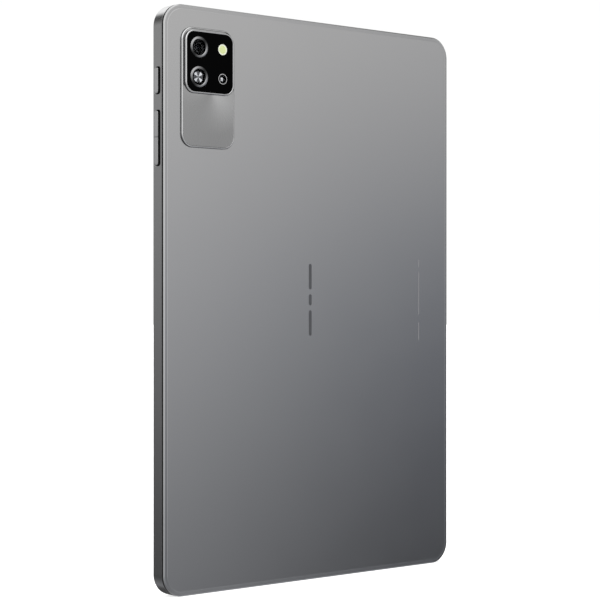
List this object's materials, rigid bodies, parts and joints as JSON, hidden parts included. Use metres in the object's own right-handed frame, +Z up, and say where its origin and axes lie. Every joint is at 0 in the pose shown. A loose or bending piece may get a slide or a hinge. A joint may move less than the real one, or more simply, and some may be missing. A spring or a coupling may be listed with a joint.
{
  "type": "tablet computer",
  "caption": "Slim slate tablet with a flat grey metal back, a raised camera island in one corner, side keys, a card tray and edge sockets.",
  "frame": {"origin": "below the middle of the bounding box, on the plane of the bottom short edge that the tablet stands on", "axes": "+X across the width towards the keys, +Y through the thickness from the screen to the back, +Z up the height towards the camera end"},
  "size_m": [0.1696, 0.01, 0.258],
  "materials": {
    "frame_metal": "satin anodised, cool grey",
    "cover_metal": "satin anodised, cool grey",
    "seam_rubber": "matt black",
    "screen_glass": "gloss, black backed",
    "black_adhesive": "matt black",
    "panel_glass": "gloss, dark",
    "white_plastic": "satin white",
    "flex_film": "satin amber film",
    "island_metal": "polished",
    "plate_metal": "radial brushed",
    "window_glass": "gloss black",
    "lens_glass": "gloss, coated",
    "ring_steel": "turned",
    "flash_diffuser": "frosted, pale yellow",
    "black_plastic": "satin black",
    "can_steel": "pressed sheet",
    "board_laminate": "green solder mask",
    "chip_resin": "matt black resin",
    "battery_pouch": "satin dark film",
    "mesh_cloth": "woven black mesh"
  },
  "bodies": {
    "chassis": {"mid_frame": "frame_metal", "rear_cover": "cover_metal", "seam_gasket": "seam_rubber", "cover_glass": "screen_glass", "glass_adhesive": "black_adhesive", "lcd_cell": "panel_glass", "backlight_unit": "white_plastic", "display_flex": "flex_film", "front_camera": "black_plastic", "camera_island": "island_metal", "deco_plate": "plate_metal", "camera_window": "window_glass", "main_lens_ring": "ring_steel", "main_lens_cover": "lens_glass", "second_lens_ring": "ring_steel", "second_lens_cover": "lens_glass", "sensor_ring": "ring_steel", "sensor_lens": "lens_glass", "flash_window": "flash_diffuser", "main_camera_housing": "can_steel", "second_camera": "can_steel", "flash_led": "flash_diffuser", "light_sensor": "black_plastic", "power_switch": "can_steel", "volume_up_switch": "can_steel", "volume_down_switch": "can_steel", "side_key_flex": "flex_film", "card_connector": "can_steel", "main_board": "board_laminate", "processor_shield": "can_steel", "radio_shield": "can_steel", "processor": "chip_resin", "usb_board": "board_laminate", "usb_c_shell": "can_steel", "usb_c_tongue": "black_plastic", "bottom_microphone": "can_steel", "main_board_screw_left": "ring_steel", "main_board_screw_right": "ring_steel", "usb_board_screw_left": "ring_steel", "usb_board_screw_right": "ring_steel", "main_flex": "flex_film", "battery_cell_left": "battery_pouch", "battery_cell_right": "battery_pouch", "battery_board": "board_laminate", "speaker_mesh_top_right": "mesh_cloth", "speaker_mesh_top_left": "mesh_cloth", "speaker_mesh_bottom_right": "mesh_cloth", "speaker_mesh_bottom_left": "mesh_cloth", "speaker_top_right": "black_plastic", "speaker_top_left": "black_plastic", "speaker_bottom_right": "black_plastic", "speaker_bottom_left": "black_plastic"},
    "power_key": {"power_button": "frame_metal"},
    "volume_key": {"volume_rocker": "frame_metal"},
    "card_tray": {"sim_tray": "frame_metal"},
    "focus_carrier": {"focus_barrel": "black_plastic"},
    "power_contact": {"power_plunger": "black_plastic"},
    "volume_up_contact": {"volume_up_plunger": "black_plastic"},
    "volume_down_contact": {"volume_down_plunger": "black_plastic"}
  },
  "joints": [
    {"name": "power_press", "type": "slide", "parent": "chassis", "child": "power_key", "axis": [-1, 0, 0], "range_m": [0, 0.00035], "stiffness_N_per_m": 800},
    {"name": "power_contact_slide", "type": "slide", "parent": "chassis", "child": "power_contact", "axis": [-1, 0, 0], "range_m": [0, 0.00035]},
    {"name": "volume_up_contact_slide", "type": "slide", "parent": "chassis", "child": "volume_up_contact", "axis": [-1, 0, 0], "range_m": [-0.000235, 0.000235], "stiffness_N_per_m": 1000},
    {"name": "volume_tilt", "type": "hinge", "parent": "chassis", "child": "volume_key", "pos_m": [0.0808, -0.00215, 0.1994], "axis": [0, -1, 0], "range_deg": [-1.5, 1.5]},
    {"name": "volume_down_contact_slide", "type": "slide", "parent": "chassis", "child": "volume_down_contact", "axis": [-1, 0, 0], "range_m": [-0.000235, 0.000235]},
    {"name": "tray_slide", "type": "slide", "parent": "chassis", "child": "card_tray", "axis": [-1, 0, 0], "range_m": [0, 0.03]},
    {"name": "focus_travel", "type": "slide", "parent": "chassis", "child": "focus_carrier", "axis": [0, 1, 0], "range_m": [0, 0.0003], "stiffness_N_per_m": 100}
  ],
  "couplings": [
    {"joint": "power_contact_slide", "follows": "power_press", "ratio": 1},
    {"joint": "volume_tilt", "follows": "volume_up_contact_slide", "rad_per_m": 111.11},
    {"joint": "volume_down_contact_slide", "follows": "volume_up_contact_slide", "ratio": -1}
  ]
}
